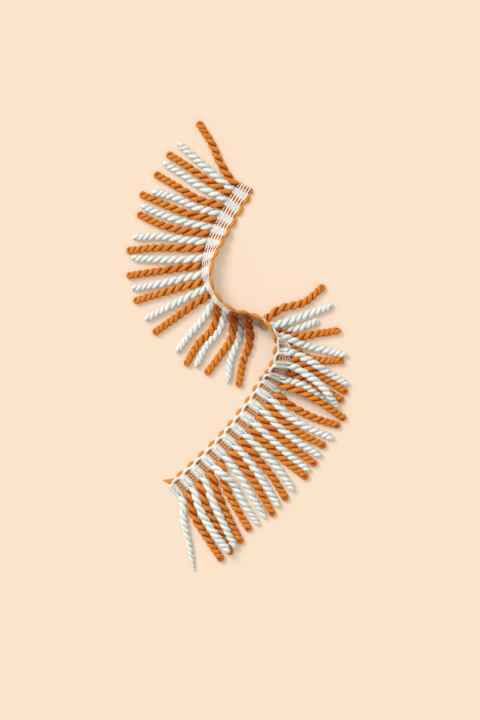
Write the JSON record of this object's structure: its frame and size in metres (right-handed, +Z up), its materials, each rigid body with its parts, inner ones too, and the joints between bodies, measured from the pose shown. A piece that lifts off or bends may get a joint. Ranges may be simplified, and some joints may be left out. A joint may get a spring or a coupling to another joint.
{
  "type": "twisted rope fringe trim",
  "caption": "Short length of bullion fringe trim: a narrow woven heading lying in an S with a half twist, edged with loops on one side and two-colour twisted ropes on the other.",
  "frame": {"origin": "middle of the surface that the trim lies on, on the lowest plane", "axes": "+Y from the lower cut end towards the upper one, along the S; +X towards the ropes that fan from the lower stretch; +Z up from the surface"},
  "size_m": [0.1786, 0.3614, 0.0247],
  "materials": {
    "white_warp_thread": "matt woven thread",
    "orange_yarn": "matt twisted yarn",
    "off_white_yarn": "matt twisted yarn"
  },
  "bodies": {
    "root": {"heading_band": "white_warp_thread", "orange_fringe": "orange_yarn", "white_fringe": "off_white_yarn", "orange_edge_loops": "orange_yarn", "white_edge_loops": "off_white_yarn"}
  },
  "joints": []
}
